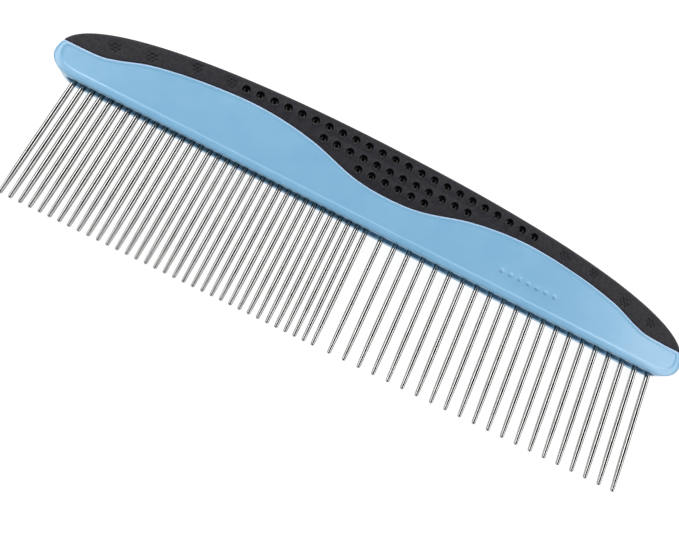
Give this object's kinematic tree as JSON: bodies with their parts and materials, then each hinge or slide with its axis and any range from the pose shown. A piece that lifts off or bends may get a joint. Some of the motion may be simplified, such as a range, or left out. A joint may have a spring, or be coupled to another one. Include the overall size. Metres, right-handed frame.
{
  "type": "grooming comb",
  "caption": "Two-pitch pet grooming comb: round steel pins in a waved blue hard handle with a dark soft grip along the spine.",
  "frame": {"origin": "under the middle of the comb's box, on the plane of its back face", "axes": "+X along the comb from the close-set pins to the wide-set ones, +Y from the pin tips to the spine, +Z out of the face"},
  "size_m": [0.2338, 0.0728, 0.008],
  "materials": {
    "hard_plastic": "glossy moulded light blue",
    "soft_grip": "matt, finely grained charcoal",
    "rail_plastic": "plain moulded light blue",
    "pin_steel": "polished round steel"
  },
  "bodies": {
    "root": {"handle_body": "hard_plastic", "grip": "soft_grip", "pin_rail": "rail_plastic", "fine_pin_01": "pin_steel", "fine_pin_02": "pin_steel", "fine_pin_03": "pin_steel", "fine_pin_04": "pin_steel", "fine_pin_05": "pin_steel", "fine_pin_06": "pin_steel", "fine_pin_07": "pin_steel", "fine_pin_08": "pin_steel", "fine_pin_09": "pin_steel", "fine_pin_10": "pin_steel", "fine_pin_11": "pin_steel", "fine_pin_12": "pin_steel", "fine_pin_13": "pin_steel", "fine_pin_14": "pin_steel", "fine_pin_15": "pin_steel", "fine_pin_16": "pin_steel", "fine_pin_17": "pin_steel", "fine_pin_18": "pin_steel", "fine_pin_19": "pin_steel", "fine_pin_20": "pin_steel", "fine_pin_21": "pin_steel", "fine_pin_22": "pin_steel", "fine_pin_23": "pin_steel", "fine_pin_24": "pin_steel", "fine_pin_25": "pin_steel", "fine_pin_26": "pin_steel", "fine_pin_27": "pin_steel", "fine_pin_28": "pin_steel", "fine_pin_29": "pin_steel", "fine_pin_30": "pin_steel", "fine_pin_31": "pin_steel", "fine_pin_32": "pin_steel", "fine_pin_33": "pin_steel", "fine_pin_34": "pin_steel", "coarse_pin_01": "pin_steel", "coarse_pin_02": "pin_steel", "coarse_pin_03": "pin_steel", "coarse_pin_04": "pin_steel", "coarse_pin_05": "pin_steel", "coarse_pin_06": "pin_steel", "coarse_pin_07": "pin_steel", "coarse_pin_08": "pin_steel", "coarse_pin_09": "pin_steel", "coarse_pin_10": "pin_steel", "coarse_pin_11": "pin_steel", "coarse_pin_12": "pin_steel", "coarse_pin_13": "pin_steel", "coarse_pin_14": "pin_steel", "coarse_pin_15": "pin_steel", "coarse_pin_16": "pin_steel", "coarse_pin_17": "pin_steel", "coarse_pin_18": "pin_steel", "coarse_pin_19": "pin_steel", "coarse_pin_20": "pin_steel", "coarse_pin_21": "pin_steel"}
  },
  "joints": []
}
